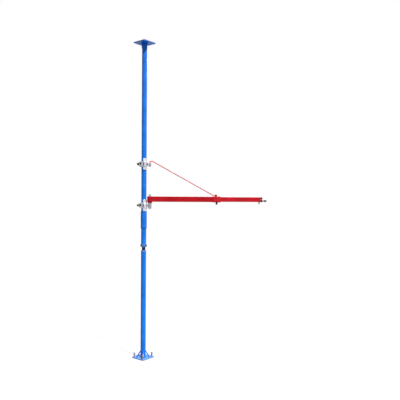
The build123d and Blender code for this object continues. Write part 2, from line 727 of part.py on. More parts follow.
# Inner arm: a lighter square tube that slides in the outer one
end_plate_x = arm_reach - end_plate_thick
inner_tube_start = arm_reach - arm_inner_length
stop_bolt_x = arm_reach - stop_bolt_inset
inner_bore = arm_inner_size - 2 * arm_inner_wall
with BuildPart() as arm_inner_tube:
    with BuildSketch(Plane(origin=(inner_tube_start, 0, arm_z), x_dir=(0, 1, 0), z_dir=(1, 0, 0))):
        RectangleRounded(arm_inner_size, arm_inner_size, arm_corner_r)
        Rectangle(inner_bore, inner_bore, mode=Mode.SUBTRACT)
    extrude(amount=end_plate_x - inner_tube_start)
    with Locations((stop_bolt_x, 0, arm_inner_bottom)):
        Cylinder(stop_bolt_d / 2 + thread_fit, arm_inner_wall, align=UP, mode=Mode.SUBTRACT)
arm_inner_tube.part.label = "arm_inner_tube"
export_step(arm_inner_tube.part, "parts/arm_inner_tube.step")

buffer_z = arm_z + buffer_rise
with BuildPart() as arm_end_plate:
    with BuildSketch(Plane(origin=(end_plate_x, 0, arm_z), x_dir=(0, 1, 0), z_dir=(1, 0, 0))):
        RectangleRounded(arm_inner_size, arm_inner_size, arm_corner_r)
        with Locations((0, -stud_drop)):
            Circle(stud_d / 2 + thread_fit, mode=Mode.SUBTRACT)
    extrude(amount=end_plate_thick)
arm_end_plate.part.label = "arm_end_plate"
export_step(arm_end_plate.part, "parts/arm_end_plate.step")

with BuildPart() as end_buffer:
    with BuildSketch(Plane(origin=(arm_reach, 0, buffer_z), x_dir=(0, 1, 0), z_dir=(1, 0, 0))):
        Circle(buffer_d / 2)
    extrude(amount=buffer_length)
    fillet(end_buffer.faces().sort_by(Axis.X)[-1].edges(), buffer_d / 6)
end_buffer.part.label = "end_buffer"
export_step(end_buffer.part, "parts/end_buffer.step")

# Tip stud: screwed through the end plate, with two nuts at its root and one near its free end
stud_foot = Plane(origin=(end_plate_x, 0, arm_z - stud_drop), x_dir=(0, 1, 0), z_dir=(1, 0, 0))
with BuildPart() as tip_stud:
    with BuildSketch(stud_foot):
        Circle(stud_d / 2)
    extrude(amount=end_plate_thick + stud_reach)
    chamfer(tip_stud.faces().sort_by(Axis.X)[-1].edges(), stud_d / 10)
tip_stud.part.label = "tip_stud"
export_step(tip_stud.part, "parts/tip_stud.step")

stud_face = stud_foot.offset(end_plate_thick)
stud_nut_thick = stud_d * nut_per_d
root_nut = hex_nut(stud_face, stud_d, stud_nut_thick, stud_d + 2 * thread_fit)
jam_nut = hex_nut(
    stud_face.offset(stud_nut_thick + thread_fit), stud_d, stud_nut_thick, stud_d + 2 * thread_fit
)
outer_nut = hex_nut(stud_face.offset(stud_nut_reach), stud_d, stud_nut_thick, stud_d + 2 * thread_fit)
with BuildPart() as tip_stud_nuts:
    add(root_nut)
    add(jam_nut)
    add(outer_nut)
tip_stud_nuts.part.label = "tip_stud_nuts"
export_step(tip_stud_nuts.part, "parts/tip_stud_nuts.step")

# Stop bolt under the arm's tip keeps the hoist from sliding off
stop_head_top = arm_inner_bottom - stop_bolt_drop + stop_bolt_d * head_per_d
stop_bolt = hex_bolt(
    Plane(origin=(stop_bolt_x, 0, stop_head_top)),
    stop_bolt_d,
    arm_inner_bottom + 2 * arm_inner_wall - stop_head_top,
)
stop_bolt.label = "stop_bolt"
export_step(stop_bolt, "parts/stop_bolt.step")

stop_nut_thick = stop_bolt_d * nut_per_d
stop_nut = hex_nut(
    Plane(origin=(stop_bolt_x, 0, arm_inner_bottom - stop_nut_thick)),
    stop_bolt_d,
    stop_nut_thick,
    stop_bolt_d + 2 * thread_fit,
)
stop_nut.label = "stop_nut"
export_step(stop_nut, "parts/stop_nut.step")
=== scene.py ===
import math

import bmesh
import bpy
from mathutils import Matrix, Vector


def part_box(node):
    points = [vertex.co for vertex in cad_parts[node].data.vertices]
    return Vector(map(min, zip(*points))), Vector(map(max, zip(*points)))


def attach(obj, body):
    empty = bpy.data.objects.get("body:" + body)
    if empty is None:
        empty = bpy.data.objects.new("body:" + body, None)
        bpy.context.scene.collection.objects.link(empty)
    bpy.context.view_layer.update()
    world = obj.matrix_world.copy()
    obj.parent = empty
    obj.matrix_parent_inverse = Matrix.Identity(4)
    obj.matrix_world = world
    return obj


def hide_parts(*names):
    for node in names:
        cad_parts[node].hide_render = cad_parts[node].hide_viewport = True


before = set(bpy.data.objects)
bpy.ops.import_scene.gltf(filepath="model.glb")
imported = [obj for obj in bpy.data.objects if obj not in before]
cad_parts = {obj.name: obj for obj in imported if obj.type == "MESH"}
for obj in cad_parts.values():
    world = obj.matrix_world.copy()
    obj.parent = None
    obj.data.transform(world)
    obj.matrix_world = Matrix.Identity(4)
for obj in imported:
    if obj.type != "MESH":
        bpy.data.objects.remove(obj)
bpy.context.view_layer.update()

# Viewpoint: a camera at chest height, square in front of the post and turned a little towards the arm,
# with the slight lean that a hand-held picture has.
lens_px = 509.4
picture_px = 400
sensor_mm = 36.0
eye = (0.046, -4.8, 1.468)
turn_to_arm = -0.1002
tilt_up = 0.0019
lean = 0.005
far_limit = 60
scene = bpy.context.scene
scene.view_settings.view_transform = "Standard"
viewpoint = bpy.data.objects.new("viewpoint", bpy.data.cameras.new("viewpoint"))
viewpoint.data.sensor_width = sensor_mm
viewpoint.data.lens = sensor_mm * lens_px / picture_px
viewpoint.data.clip_end = far_limit
viewpoint.matrix_world = (
    Matrix.Translation(eye)
    @ Matrix.Rotation(turn_to_arm, 4, "Z")
    @ Matrix.Rotation(math.pi / 2 + tilt_up, 4, "X")
    @ Matrix.Rotation(lean, 4, "Z")
)
scene.collection.objects.link(viewpoint)
scene.camera = viewpoint


# Studio: a plain white floor, white surroundings, a lamp from the upper front right and a weak one behind.
# Floor and surroundings look white to the camera and in reflections, and light the post only softly.
class Tone:
    """A socket of a node tree: sums on values add Math nodes, and node() adds any other node."""

    def __init__(self, tree, link=None):
        self.tree = tree
        self.link = link

    def node(self, kind, settings=None, sockets=None, out=0):
        made = self.tree.nodes.new(kind)
        for name, value in (settings or {}).items():
            setattr(made, name, value)
        for name, value in (sockets or {}).items():
            if isinstance(value, Tone):
                self.tree.links.new(value.link, made.inputs[name])
            else:
                made.inputs[name].default_value = value
        return Tone(self.tree, made.outputs[out])

    def sum(self, operation, first, second):
        return self.node("ShaderNodeMath", {"operation": operation}, {0: first, 1: second})

    def __add__(self, other):
        return self.sum("ADD", self, other)

    def __radd__(self, other):
        return self.sum("ADD", other, self)

    def __sub__(self, other):
        return self.sum("SUBTRACT", self, other)

    def __rsub__(self, other):
        return self.sum("SUBTRACT", other, self)

    def __mul__(self, other):
        return self.sum("MULTIPLY", self, other)

    def __rmul__(self, other):
        return self.sum("MULTIPLY", other, self)

    def step(self, low, high):
        """0 below low, 1 above high, and a soft rise between them."""
        return self.node(
            "ShaderNodeMapRange",
            {"interpolation_type": "SMOOTHSTEP"},
            {"Value": self, "From Min": low, "From Max": high},
        )

    def blend(self, first, second):
        """The first colour where this mask is 0, the second where it is 1."""
        return self.node("ShaderNodeMix", {"data_type": "RGBA"}, {0: self, 6: first, 7: second}, 2)


def seen_rays(tone):
    """1 for rays from the camera and for those that metal or glass sends on, 0 for the rest."""
    straight = tone.node("ShaderNodeLightPath", out="Is Camera Ray")
    mirrored = tone.node("ShaderNodeLightPath", out="Is Glossy Ray")
    through = tone.node("ShaderNodeLightPath", out="Is Transmission Ray")
    return tone.sum("MAXIMUM", tone.sum("MAXIMUM", straight, mirrored), through)


white = (1.0, 1.0, 1.0, 1.0)
sky = (0.95, 0.97, 1.0, 1.0)
sky_strength = 0.20
surround = bpy.data.worlds.new("surround")
surround.use_nodes = True
surround.node_tree.nodes.clear()
around = Tone(surround.node_tree)
soft_light = around.node("ShaderNodeBackground", None, {"Color": sky, "Strength": sky_strength})
white_wall = around.node("ShaderNodeBackground", None, {"Color": white, "Strength": 1.0})
wall_mix = around.node("ShaderNodeMixShader", None, {0: seen_rays(around), 1: soft_light, 2: white_wall})
surround_end = surround.node_tree.nodes.new("ShaderNodeOutputWorld")
surround.node_tree.links.new(wall_mix.link, surround_end.inputs["Surface"])
scene.world = surround

floor_half = 9.0
floor_corners = [(x * floor_half, y * floor_half, 0) for x, y in ((-1, -1), (1, -1), (1, 1), (-1, 1))]
floor_mesh = bpy.data.meshes.new("floor")
floor_mesh.from_pydata(floor_corners, [], [(0, 1, 2, 3)])
floor = bpy.data.objects.new("floor", floor_mesh)
scene.collection.objects.link(floor)
dim_grey = (0.22, 0.22, 0.22, 1.0)
pale_grey = (0.9, 0.9, 0.9, 1.0)
white_share = 0.9
floor_white = bpy.data.materials.new("floor_white")
floor_white.use_nodes = True
floor_white.node_tree.nodes.clear()
ground = Tone(floor_white.node_tree)
dim_floor = ground.node("ShaderNodeBsdfDiffuse", None, {"Color": dim_grey})
lit_floor = ground.node("ShaderNodeBsdfDiffuse", None, {"Color": pale_grey})
white_floor = ground.node("ShaderNodeEmission", None, {"Color": white, "Strength": 1.0})
pale_floor = ground.node("ShaderNodeMixShader", None, {0: white_share, 1: lit_floor, 2: white_floor})
floor_mix = ground.node("ShaderNodeMixShader", None, {0: seen_rays(ground), 1: dim_floor, 2: pale_floor})
floor_end = floor_white.node_tree.nodes.new("ShaderNodeOutputMaterial")
floor_white.node_tree.links.new(floor_mix.link, floor_end.inputs["Surface"])
floor_mesh.materials.append(floor_white)

lamp_away = 5.0


def lamp(name, turn, rise, strength, spread, colour):
    """A far lamp, turned that many degrees to the right of the camera's side and raised above the floor."""
    across = math.radians(turn)
    up = math.radians(rise)
    made = bpy.data.objects.new(name, bpy.data.lights.new(name, "SUN"))
    made.data.energy = strength
    made.data.angle = math.radians(spread)
    made.data.color = colour
    way = Vector((math.sin(across) * math.cos(up), -math.cos(across) * math.cos(up), math.sin(up)))
    made.location = way * lamp_away
    made.rotation_euler = way.to_track_quat("Z", "Y").to_euler()
    scene.collection.objects.link(made)


lamp("key_lamp", turn=36, rise=57, strength=4.7, spread=8, colour=(1.0, 0.99, 0.97))
lamp("back_lamp", turn=158, rise=24, strength=1.5, spread=20, colour=(0.96, 0.98, 1.0))


# Base plate: a square of 8 mm steel plate with rounded corners, laid corner first under the post.
# Sprayed with gloss blue enamel, rubbed thin along the rim. Its blue is paler and greyer than the tubes':
# partly floor dust, partly a painted sheen of the lit top face.
def coated(name):
    """A new material with its tree, its shader and the piece's own coordinates in metres."""
    material = bpy.data.materials.new(name)
    material.use_nodes = True
    tone = Tone(material.node_tree)
    shader = material.node_tree.nodes["Principled BSDF"]
    place = tone.node("ShaderNodeTexCoord", out="Object")
    return material, tone, shader, place


def feed(tone, shader, **values):
    """Links or sets the shader's sockets, named with _ for a space."""
    for name, value in values.items():
        socket = shader.inputs[name.replace("_", " ")]
        if isinstance(value, Tone):
            tone.tree.links.new(value.link, socket)
        else:
            socket.default_value = value


def grain(tone, place, size, detail=2.0, stretch=None):
    """Noise from 0 to 1 with lumps about that many metres across, drawn out where stretch is small."""
    if stretch:
        place = tone.node("ShaderNodeVectorMath", {"operation": "MULTIPLY"}, {0: place, 1: stretch})
    return tone.node("ShaderNodeTexNoise", None, {"Vector": place, "Scale": 1 / size, "Detail": detail})


def relief(tone, strength, deep, height):
    """A fine surface relief of that depth in metres, for a shader's Normal."""
    return tone.node("ShaderNodeBump", None, {"Strength": strength, "Distance": deep, "Height": height})


def axis(tone, place, number):
    """One coordinate of a place: 0 for x, 1 for y, 2 for z."""
    return tone.node("ShaderNodeSeparateXYZ", None, {0: place}, number)


def enamel(name, colour, bare, edge_wear_and_highlight=None, stroke=(1.0, 1.0, 0.06), shine=0.2, mark=0.10):
    """Gloss enamel on steel: orange peel, uneven thickness, dull scuffs, and chips down to primer."""
    material, tone, shader, place = coated(name)
    cloud = grain(tone, place, size=0.09, detail=3.0)
    peel = grain(tone, place, size=0.0028, detail=1.0)
    dust = grain(tone, place, size=0.02, detail=4.0)
    scuff = grain(tone, place, size=0.0035, detail=3.0, stretch=stroke).step(0.62, 0.74)
    flake = grain(tone, place, size=0.006, detail=4.0)
    chip = flake.step(0.765, 0.785)
    if edge_wear_and_highlight:
        edge = edge_wear_and_highlight(tone, place)
        chip = tone.sum("MAXIMUM", chip, edge * flake.step(0.62, 0.65))
        scuff = tone.sum("MAXIMUM", scuff, edge * 0.8)
    light = tuple(min(1.0, c * 1.10 + 0.004) for c in colour)
    dark = tuple(c * 0.86 for c in colour)
    film = cloud.step(0.3, 0.7).blend((*dark, 1), (*light, 1))
    thin_and_highlit = (*(0.6 * c + 0.22 for c in colour), 1)
    worn_and_highlit = (scuff * mark).blend(film, thin_and_highlit)
    # On an edge mask the paint turns to the lighter colour: rubbed paint on the plate rims, a painted
    # highlight on the tube's top rim.
    if edge_wear_and_highlight:
        worn_and_highlit = (edge * (0.35 + dust * 0.8)).blend(worn_and_highlit, thin_and_highlit)
    feed(
        tone,
        shader,
        Base_Color=chip.blend(worn_and_highlit, (*bare, 1)),
        Roughness=0.24 + dust * 0.12 + scuff * 0.22 + chip * 0.2,
        Normal=relief(tone, 0.22, 0.0006, peel * 0.35 + dust * 0.4 - chip * 0.8),
        Specular_IOR_Level=shine,
    )
    return material


crease_angle = 32


def dress(material, *names):
    """Gives CAD nodes this material and smooth shading over their round faces."""
    for name in names:
        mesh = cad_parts[name].data
        mesh.materials.clear()
        mesh.materials.append(material)
        mesh.shade_smooth()
        mesh.set_sharp_from_angle(angle=math.radians(crease_angle))


plate_half = 0.075
rim_start = 0.0035
rim_full = 0.0002


def plate_rim(tone, place):
    """1 along the outer few millimetres of the square plate, whose sides lie at 45 degrees."""
    turned = tone.node(
        "ShaderNodeVectorRotate", {"rotation_type": "Z_AXIS"}, {"Vector": place, "Angle": math.pi / 4}
    )
    apart = tone.node("ShaderNodeVectorMath", {"operation": "ABSOLUTE"}, {0: turned})
    farthest = tone.sum("MAXIMUM", axis(tone, apart, 0), axis(tone, apart, 1))
    return farthest.step(plate_half - rim_start, plate_half - rim_full)


# Paler, greyer copy of the tube blue: floor dust and a painted sheen of the lit top face.
dust_and_sheen_blue = (0.045, 0.24, 0.66)
primer = (0.36, 0.40, 0.46)
flat_stroke = (0.3, 0.3, 1.0)
blue_plate = enamel("blue_plate", dust_and_sheen_blue, primer, plate_rim, flat_stroke, shine=0.5)
dress(blue_plate, "base_plate")

# Lower tube and its weld to the plate: 48.3 mm steel tube, cut square and welded on all round
# before painting. The plug in its top end has a thin rim that carries the spindle.
tube_r = 0.02415
tube_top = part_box("lower_tube")[1].z
rim_band_start = 0.010
rim_band_full = 0.004
rim_band_end = 0.006
blue = (0.008, 0.205, 0.86)


def tube_end(tone, place):
    """1 on the plug's rim and the tube's top edge: chips there are wear, and the lighter band is a painted
    highlight of the lit rim.
    """
    z = axis(tone, place, 2)
    below = z.step(tube_top - rim_band_start, tube_top - rim_band_full)
    above = z.step(tube_top + rim_band_full, tube_top + rim_band_end)
    return below * (1 - above)


blue_tube = enamel("blue_tube", blue, primer, tube_end)
dress(blue_tube, "lower_tube", "spindle_plug")
same_point = 2e-6


def cast(shape, name, material, body, crease=crease_angle):
    """A finished piece from a closed mesh: no slivers, faces outwards, smooth up to the crease angle."""
    bmesh.ops.dissolve_degenerate(shape, dist=same_point, edges=shape.edges)
    bmesh.ops.recalc_face_normals(shape, faces=shape.faces)
    mesh = bpy.data.meshes.new(name)
    shape.to_mesh(mesh)
    shape.free()
    mesh.materials.append(material)
    mesh.shade_smooth()
    mesh.set_sharp_from_angle(angle=math.radians(crease))
    made = bpy.data.objects.new(name, mesh)
    scene.collection.objects.link(made)
    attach(made, body)
    return made


def make(name, parts, material, body, crease=crease_angle):
    """One piece from (points, faces) parts, each closed where its points meet, riding on a body."""
    shape = bmesh.new()
    for part_points, part_faces in parts:
        corners = [shape.verts.new(p) for p in part_points]
        for face in part_faces:
            shape.faces.new([corners[i] for i in face])
        bmesh.ops.remove_doubles(shape, verts=corners, dist=same_point)
    return cast(shape, name, material, body, crease)


def wrap(rows, sides, looped=False):
    """Faces round rows of points, side by side, with a cap on both ends or joined up as a loop."""
    faces = []
    for row in range(rows if looped else rows - 1):
        a = row * sides
        b = (row + 1) % rows * sides
        for k in range(sides):
            n = (k + 1) % sides
            faces.append((a + k, a + n, b + n, b + k))
    if not looped:
        faces.append(tuple(range(sides))[::-1])
        faces.append(tuple(range((rows - 1) * sides, rows * sides)))
    return faces


bead_sides = 8
bead_scale = 0.0032
scale_spots = 4
scale_rise = 0.13
bead_end = 0.35
steep = 0.9


def bead(path, size, closed=True):
    """A weld bead along a path of points: a round ridge with the small overlapping scales of its pool."""
    path = [Vector(p) for p in path]
    if closed:
        path.append(path[0])
    spots = []
    for a, b in zip(path, path[1:]):
        count = max(1, round((b - a).length / (bead_scale / scale_spots)))
        spots += [a.lerp(b, i / count) for i in range(count)]
    if not closed:
        spots.append(path[-1])
    points = []
    total = len(spots)
    for i, spot in enumerate(spots):
        ahead = spots[(i + 1) % total] if closed else spots[min(i + 1, total - 1)]
        behind = spots[i - 1] if closed else spots[max(i - 1, 0)]
        along = (ahead - behind).normalized()
        side = along.orthogonal() if abs(along.z) > steep else along.cross((0, 0, 1))
        side.normalize()
        up = side.cross(along)
        scale = scale_rise * (i % scale_spots) / (scale_spots - 1)
        drift = 0.08 * math.sin(i * 0.37) + 0.05 * math.sin(i * 0.113)
        thick = size * (1 + scale + drift)
        if not closed:
            thick *= bead_end + (1 - bead_end) * min(1, 4 * min(i, total - 1 - i) / total)
        for k in range(bead_sides):
            turn = 2 * math.pi * k / bead_sides
            points.append(spot + thick * (math.cos(turn) * side + math.sin(turn) * up))
    return points, wrap(total, bead_sides, closed)


def ring(radius, z, x=0.0, count=48):
    """A level circle of points about an upright axis at x."""
    turns = [2 * math.pi * i / count for i in range(count)]
    return [(x + radius * math.cos(t), radius * math.sin(t), z) for t in turns]


plate_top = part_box("base_plate")[1].z
weld_out = 0.0012
foot_lift = 0.0008
foot_bead = 0.0028
foot_path = ring(tube_r + weld_out, plate_top + foot_lift)
make("tube_foot_weld", [bead(foot_path, foot_bead)], blue_tube, "lower_post")

# Base braces: four lengths of 10 mm round bar, leaning from the plate to the tube, cut to both and
# welded round each end, then painted with the plate.
dress(blue_tube, "base_braces")
bar_r = 0.005
bar_foot = Vector((0.060, 0, plate_top))
bar_head = Vector((tube_r, 0, 0.060))
bar_bead = 0.0016
bar_lift = 0.0004
bar_weld_spots = 28
bar_way = (bar_head - bar_foot).normalized()
bar_side = Vector((0, 1, 0))
bar_up = bar_way.cross(bar_side)
brace_welds = []
for quarter in range(4):
    spin = Matrix.Rotation(quarter * math.pi / 2, 3, "Z")
    low_path, high_path = [], []
    for i in range(bar_weld_spots):
        turn = 2 * math.pi * i / bar_weld_spots
        start = bar_foot + bar_r * (math.cos(turn) * bar_side + math.sin(turn) * bar_up)
        low_path.append(spin @ (start + bar_way * ((plate_top + bar_lift - start.z) / bar_way.z)))
        flat = bar_way.x ** 2
        half = start.x * bar_way.x
        rest = start.x ** 2 + start.y ** 2 - tube_r ** 2
        reach = (-half - math.sqrt(half * half - flat * rest)) / flat
        high_path.append(spin @ (start + bar_way * reach))
    brace_welds.append(bead(low_path, bar_bead))
    brace_welds.append(bead(high_path, bar_bead))
make("brace_welds", brace_welds, blue_tube, "lower_post")


# Sleeve anchors: M10 zinc-plated studs in expanding sleeves, each with a washer and a hex nut.
# The sleeves get a darker zinc than the nuts, a painted shade, and all four stand proud of the plate.
def plated(name, colour, shade, rough=0.3, lump=0.03, metal=0.85, painted_shade=None):
    """Plated or bare bright metal: cloudy, with fine scratches, a dull bloom, and a darker painted shade
    where its shade mask says.
    """
    material, tone, shader, place = coated(name)
    cloud = grain(tone, place, size=lump, detail=4.0).step(0.32, 0.68)
    fleck = grain(tone, place, size=0.0016)
    line = grain(tone, place, size=0.0012, stretch=(1.0, 1.0, 0.05))
    bloom = grain(tone, place, size=0.012, detail=5.0).step(0.6, 0.75)
    tint = cloud.blend((*shade, 1), (*colour, 1))
    if painted_shade:
        # Painted shade: the tint is darkened to half where the mask is 1.
        tint = painted_shade(tone, place).blend(tint, (*(0.5 * c for c in shade), 1))
    feed(
        tone,
        shader,
        Base_Color=(bloom * 0.3).blend(tint, (*(0.6 * c + 0.2 for c in colour), 1)),
        Metallic=metal - bloom * 0.3,
        Roughness=rough + cloud * 0.08 + line * 0.1 + bloom * 0.2,
        Normal=relief(tone, 0.2, 0.0004, fleck * 0.5 + line * 0.5),
    )
    return material


zinc = plated("zinc", (0.58, 0.58, 0.63), (0.40, 0.41, 0.47))
# Darker zinc for the sleeves: painted shade.
sleeve_shade_zinc = plated("sleeve_shade_zinc", (0.34, 0.32, 0.37), (0.22, 0.21, 0.26), rough=0.34)
dress(zinc, "anchor_washers")
dress(sleeve_shade_zinc, "anchor_sleeves")


def hex_part(flats, height, bore=0.0, both=True, count=72):
    """A hex nut or head on z = 0 with a flat towards x, its corners turned off above, and below if both."""
    half = flats / 2
    cone = half * 1.02
    slope = math.tan(math.radians(30))
    eave = bore * 1.08 if bore else half * 0.5
    turns = [2 * math.pi * i / count for i in range(count)]
    reach = [half / math.cos((t + math.pi / 6) % (math.pi / 3) - math.pi / 6) for t in turns]
    land = [min(r, cone) for r in reach]
    drop = [max(0.0, (r - cone) * slope) for r in reach]
    bottom = [0.0] * count
    top = [height] * count
    rings = [
        ([eave] * count, bottom),
        (land, bottom),
        (reach, drop if both else bottom),
        (reach, [height - d for d in drop]),
        (land, top),
        ([eave] * count, top),
    ]
    if bore:
        lip = bore * 0.08
        rings.insert(0, ([bore] * count, [lip] * count))
        rings.append(([bore] * count, [height - lip] * count))
    points = []
    for radii, heights in rings:
        points += [(r * math.cos(t), r * math.sin(t), z) for r, t, z in zip(radii, turns, heights)]
    return points, wrap(len(rings), count, bore > 0)


def rod_part(radius, length, pitch, plain=0.0, depth=None, flank=2.6, count=28, fine=6, foot=False):
    """A rod from z = 0 up, plain at first and then threaded, its tip chamfered, and its foot if asked."""
    depth = depth or 0.58 * pitch
    core = radius - depth * 1.1
    steps = max(2, round((length - plain) / pitch * fine))
    rows = [(0.0, False), (plain, False)] if plain else []
    rows += [(plain + (length - plain) * i / steps, True) for i in range(steps + 1)]
    points = []
    for z, cut in rows:
        for k in range(count):
            r = radius
            if cut:
                rise = abs(2 * ((z / pitch - k / count) % 1.0) - 1)
                r -= depth * min(1.0, max(0.0, 0.5 + flank * (rise - 0.5)))
            r = min(r, core + length - z)
            if foot:
                r = min(r, core + z)
            t = 2 * math.pi * k / count
            points.append((r * math.cos(t), r * math.sin(t), z))
    return points, wrap(len(rows), count)


def put(part, origin, up=(0, 0, 1), across=(1, 0, 0)):
    """The part stood at a point, its z axis along up and its x axis along across."""
    z = Vector(up).normalized()
    x = Vector(across).normalized()
    turn = Matrix((x, z.cross(x), z)).transposed()
    return [Vector(origin) + turn @ Vector(p) for p in part[0]], part[1]


anchor_circle_r = 0.081
anchor_low, anchor_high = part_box("anchor_nuts")
anchor_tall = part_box("anchor_studs")[1].z
anchor_nut = hex_part(flats=0.0155, height=anchor_high.z - anchor_low.z, bore=0.0049)
anchor_stud = rod_part(radius=0.005, length=anchor_tall, pitch=0.0015, plain=0.036)
nut_turns = (0.3, 1.3, 2.3, 3.3)
nuts, studs = [], []
for i, nut_turn in enumerate(nut_turns):
    quarter = i * math.pi / 2
    x = anchor_circle_r * math.cos(quarter)
    y = anchor_circle_r * math.sin(quarter)
    nuts.append(put(anchor_nut, (x, y, anchor_low.z), across=(math.cos(nut_turn), math.sin(nut_turn), 0)))
    studs.append(put(anchor_stud, (x, y, 0)))
anchor_nuts = make("anchor_hex_nuts", nuts, zinc, "lower_post")
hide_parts("anchor_nuts")
anchor_studs = make("anchor_threads", studs, zinc, "lower_post")
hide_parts("anchor_studs")


# Jack spindle: a 38 mm bar with a coarse trapezoidal thread of 8 mm pitch, rolled and oiled.
# It stands fast in the plug and runs up inside the tube above through the ring nut.
def oiled(name, colour, shade, rough=0.26):
    """Oiled dark steel: a darker film in patches over a smooth rolled surface."""
    material, tone, shader, place = coated(name)
    film = grain(tone, place, size=0.012, detail=4.0).step(0.35, 0.7)
    line = grain(tone, place, size=0.0011, stretch=(1.0, 1.0, 0.2))
    feed(
        tone,
        shader,
        Base_Color=film.blend((*colour, 1), (*shade, 1)),
        Metallic=0.82,
        Roughness=rough + film * 0.16 + line * 0.12,
        Normal=relief(tone, 0.2, 0.0003, line),
    )
    return material


spindle_steel = oiled("spindle_steel", (0.05, 0.09, 0.18), (0.02, 0.035, 0.075))
spindle_r = 0.019
jack_pitch = 0.008
thread_depth = 0.0038
thread_crease = 40
spindle_low, spindle_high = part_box("spindle")
spindle_long = spindle_high.z - spindle_low.z
jack_thread = rod_part(
    spindle_r, spindle_long, jack_pitch, depth=thread_depth, flank=1.6, count=56, fine=14, foot=True
)
spindle = make(
    "spindle_thread",
    [put(jack_thread, (0, 0, spindle_low.z))],
    spindle_steel,
    "lower_post",
    thread_crease,
)
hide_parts("spindle")

# Jack ring nut: turned steel with a deep blue zinc finish, tapered below and drilled round its middle for
# a tommy bar. The upper tube rests on it, so turning it lifts the whole upper post.
turned_zinc = plated("turned_zinc", (0.10, 0.23, 0.48), (0.055, 0.135, 0.30), rough=0.28, lump=0.05)
dress(turned_zinc, "jack_nut")

# Upper post: two tubes that butt inside a coupling sleeve, welded to the lower one of them.
# The upper tube carries the marks of the clamps that slide on it.
blue_upper = enamel("blue_upper", blue, primer, stroke=(1.0, 1.0, 0.012), mark=0.30)
dress(blue_upper, "mid_tube", "upper_tube")
dress(blue_tube, "coupling_sleeve")
sleeve_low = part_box("coupling_sleeve")[0].z
sleeve_drop = 0.0006
sleeve_bead = 0.0020
sleeve_path = ring(tube_r + weld_out, sleeve_low - sleeve_drop)
make("sleeve_weld", [bead(sleeve_path, sleeve_bead)], blue_tube, "upper_post")

# Top plate and its collar: a plate like the base plate but never walked on, so its enamel stays flatter.
# It is welded on a short socket that caps the tube. Four open holes take screws into the ceiling.
blue_top = enamel("blue_top", blue, primer, plate_rim, flat_stroke, shine=0.1)
dress(blue_top, "top_plate")
dress(blue_tube, "top_collar")
socket_r = 0.0285
plate_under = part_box("top_plate")[0].z
plate_drop = 0.0008
plate_bead = 0.0026
socket_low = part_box("top_collar")[0].z
socket_out = 0.0014
socket_drop = 0.0004
socket_bead = 0.0018
top_welds = [
    bead(ring(socket_r + weld_out, plate_under - plate_drop), plate_bead),
    bead(ring(tube_r + socket_out, socket_low - socket_drop), socket_bead),
]
make("top_welds", top_welds, blue_tube, "upper_post")


# Post clamps: forged steel halves, zinc plated. The tall half towards the jib is a U with a pivot barrel
# welded on a web and bolting ears; its zinc is darkened about the barrel as painted shade. The short half
# behind has deep ears, each with a window over its bolt, and a duller, darker zinc, a painted shade for the
# side away from the lamp.
def pivot_shade(tone, place):
    """Painted shade: strongest round the barrels, fading in patches to 0 towards the post."""
    unshaded_x = 0.036
    shaded_x = 0.056
    shade_reach = axis(tone, place, 0) + grain(tone, place, size=0.02, detail=4.0) * 0.012
    return shade_reach.step(unshaded_x, shaded_x) * 0.8


forged_zinc = plated(
    "forged_zinc",
    (0.80, 0.805, 0.87),
    (0.64, 0.65, 0.72),
    rough=0.24,
    lump=0.035,
    metal=0.9,
    painted_shade=pivot_shade,
)
# Darker, duller zinc for the back halves: painted shade of the side away from the lamp.
dull_shaded_zinc = plated("dull_shaded_zinc", (0.50, 0.52, 0.56), (0.34, 0.36, 0.40), rough=0.45, metal=0.45)
edge_round = 0.0015
flat_angle = 0.5
hard_angle = 38
sort_way = Vector((0.2718, 0.5772, 0.7701))


def forged(node, name, material):
    """A clamp forging on a solid's own faces, its hard outer edges rounded off, in one fixed order."""
    shape = bmesh.new()
    shape.from_mesh(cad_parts[node].data)
    bmesh.ops.remove_doubles(shape, verts=shape.verts, dist=same_point / 2)
    bmesh.ops.dissolve_limit(
        shape, angle_limit=math.radians(flat_angle), verts=shape.verts, edges=shape.edges
    )
    hard = [e for e in shape.edges if e.is_convex and e.calc_face_angle(0) > math.radians(hard_angle)]
    bmesh.ops.bevel(shape, geom=hard, offset=edge_round, segments=3, profile=0.5, affect="EDGES")
    bmesh.ops.remove_doubles(shape, verts=shape.verts, dist=same_point)
    bmesh.ops.triangulate(shape, faces=[f for f in shape.faces if len(f.verts) > 4])
    shape.verts.sort(key=lambda v: v.co.dot(sort_way))
    shape.faces.sort(key=lambda f: f.calc_center_median().dot(sort_way))
    made = cast(shape, name, material, "jib")
    made.modifiers.new("even_shading", "WEIGHTED_NORMAL").keep_sharp = True
    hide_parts(node)


for clamp in ("lower_clamp", "upper_clamp"):
    forged(clamp + "_jib_half", clamp + "_jib_forging", forged_zinc)
    forged(clamp + "_back_half", clamp + "_back_forging", dull_shaded_zinc)
pivot_x = 0.056
shell_r = 0.02895
web_half = 0.009
web_bead = 0.0017
web_inset = 0.001
flange = 0.002
shell_x = math.sqrt(shell_r ** 2 - web_half ** 2)
for clamp, bush, barrel_r, above in (
    ("lower_clamp", "pivot_bush", 0.016, flange),
    ("upper_clamp", "strut_bush", 0.011, 0.0),
):
    low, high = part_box(bush)
    barrel_x = pivot_x - math.sqrt(barrel_r ** 2 - web_half ** 2)
    start = low.z + web_inset
    end = high.z - above - web_inset
    seams = []
    for side in (-web_half, web_half):
        for x in (shell_x, barrel_x):
            seams.append(bead([(x, side, start), (x, side, end)], web_bead, closed=False))
    make(clamp + "_welds", seams, forged_zinc, "jib")

